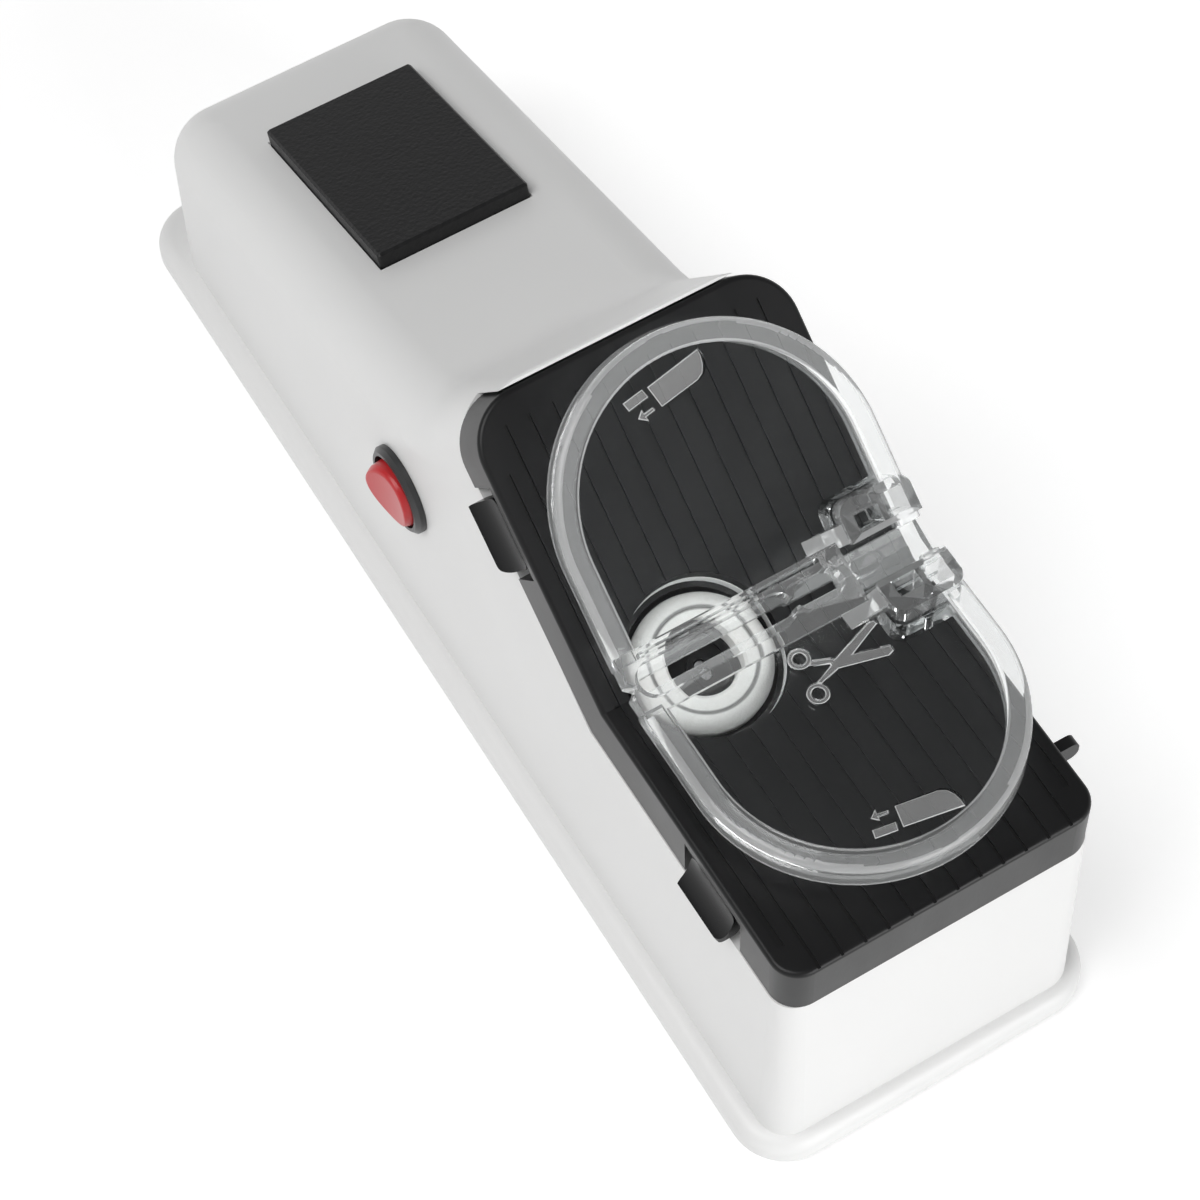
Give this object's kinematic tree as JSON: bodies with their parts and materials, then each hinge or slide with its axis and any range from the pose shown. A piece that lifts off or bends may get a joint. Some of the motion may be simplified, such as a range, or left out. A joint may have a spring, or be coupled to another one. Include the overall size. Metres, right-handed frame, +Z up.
{
  "type": "electric knife sharpener",
  "caption": "Battery-powered knife and scissors sharpener: white body, grooved dark work plate, clear slotted blade guide over a grinding wheel, side rocker switch.",
  "frame": {"origin": "centre of the bounding box's bottom face, on the table", "axes": "+Z up, +Y from the work plate's front end towards the handle's rear end, +X to the right of somebody looking along +Y"},
  "size_m": [0.062, 0.21, 0.0964],
  "materials": {
    "white_plastic": "satin white moulded ABS",
    "black_steel": "black-oxide steel",
    "plate_plastic": "satin near-black moulded ABS with fine lengthwise grooves",
    "black_plastic": "satin black moulded plastic",
    "rubber": "matt black rubber",
    "screw_steel": "zinc-plated steel",
    "zinc_steel": "zinc-plated drawn steel",
    "spring_steel": "nickel-plated spring steel",
    "clear_plastic": "clear moulded polycarbonate",
    "abrasive": "bonded white abrasive, fine grained",
    "nylon": "natural nylon",
    "bronze": "oil-impregnated sintered bronze",
    "magnet": "dark grey ferrite",
    "copper": "enamelled copper",
    "brass": "plain brass",
    "ceramic": "dipped ceramic",
    "red_plastic": "satin red moulded plastic",
    "cell_wrap": "plain printed-free battery sleeve",
    "wire_red": "red PVC insulation",
    "wire_black": "black PVC insulation"
  },
  "bodies": {
    "housing": {"upper_housing": "white_plastic", "base_tray": "white_plastic", "rubber_feet": "rubber", "housing_screws": "screw_steel", "nameplate": "black_plastic", "wheel_well": "black_plastic", "well_screws": "screw_steel", "motor_screws": "screw_steel", "motor_can": "zinc_steel", "motor_end_cap": "nylon", "motor_bushes": "bronze", "motor_magnets": "magnet", "motor_terminals": "brass", "capacitor": "ceramic", "switch_body": "black_plastic", "switch_terminals": "brass", "battery_box": "black_plastic", "aa_cells": "cell_wrap", "contact_link": "spring_steel", "contact_terminals": "spring_steel", "wire_red": "wire_red", "wire_switch": "wire_red", "wire_black": "wire_black"},
    "wheel": {"grinding_wheel": "abrasive", "wheel_hub": "black_plastic", "motor_shaft": "screw_steel", "rotor": "zinc_steel", "rotor_windings": "copper", "commutator": "copper"},
    "rocker": {"rocker": "red_plastic"},
    "top_plate": {"work_plate": "plate_plastic", "blade_guide": "clear_plastic", "guide_screws": "black_steel"},
    "latch_front_left": {"latch_front_left": "black_plastic"},
    "latch_front_right": {"latch_front_right": "black_plastic"},
    "latch_rear_left": {"latch_rear_left": "black_plastic"},
    "latch_rear_right": {"latch_rear_right": "black_plastic"},
    "door": {"battery_door": "white_plastic"}
  },
  "joints": [
    {"name": "wheel_spin", "type": "hinge", "parent": "housing", "child": "wheel", "pos_m": [-0.0092, -0.052, 0.062], "axis": [0, -0.3214, 0.9469], "continuous": true},
    {"name": "rocker_tilt", "type": "hinge", "parent": "housing", "child": "rocker", "pos_m": [-0.02709, 0.0096, 0.04061], "axis": [-0.0262, 0, -0.9997], "range_deg": [0, 18]},
    {"name": "plate_lift", "type": "slide", "parent": "housing", "child": "top_plate", "axis": [0, -0.6088, 0.7934], "range_m": [0, 0.03]},
    {"name": "latch_front_left_flip", "type": "hinge", "parent": "top_plate", "child": "latch_front_left", "pos_m": [-0.02545, -0.0821, 0.0583], "axis": [0, 1, 0], "range_deg": [0, 12], "stiffness_Nm_per_rad": 0.02},
    {"name": "latch_front_right_flip", "type": "hinge", "parent": "top_plate", "child": "latch_front_right", "pos_m": [0.02545, -0.0821, 0.0583], "axis": [0, -1, 0], "range_deg": [0, 12], "stiffness_Nm_per_rad": 0.02},
    {"name": "latch_rear_left_flip", "type": "hinge", "parent": "top_plate", "child": "latch_rear_left", "pos_m": [-0.02545, -0.0269, 0.0766], "axis": [0, 0.7934, 0.6088], "range_deg": [0, 12], "stiffness_Nm_per_rad": 0.02},
    {"name": "latch_rear_right_flip", "type": "hinge", "parent": "top_plate", "child": "latch_rear_right", "pos_m": [0.02545, -0.0269, 0.0766], "axis": [0, -0.7934, -0.6088], "range_deg": [0, 12], "stiffness_Nm_per_rad": 0.02},
    {"name": "door_swing", "type": "hinge", "parent": "housing", "child": "door", "pos_m": [0, -0.0126, 0.0022], "axis": [-1, 0, 0], "range_deg": [0, 75]}
  ]
}
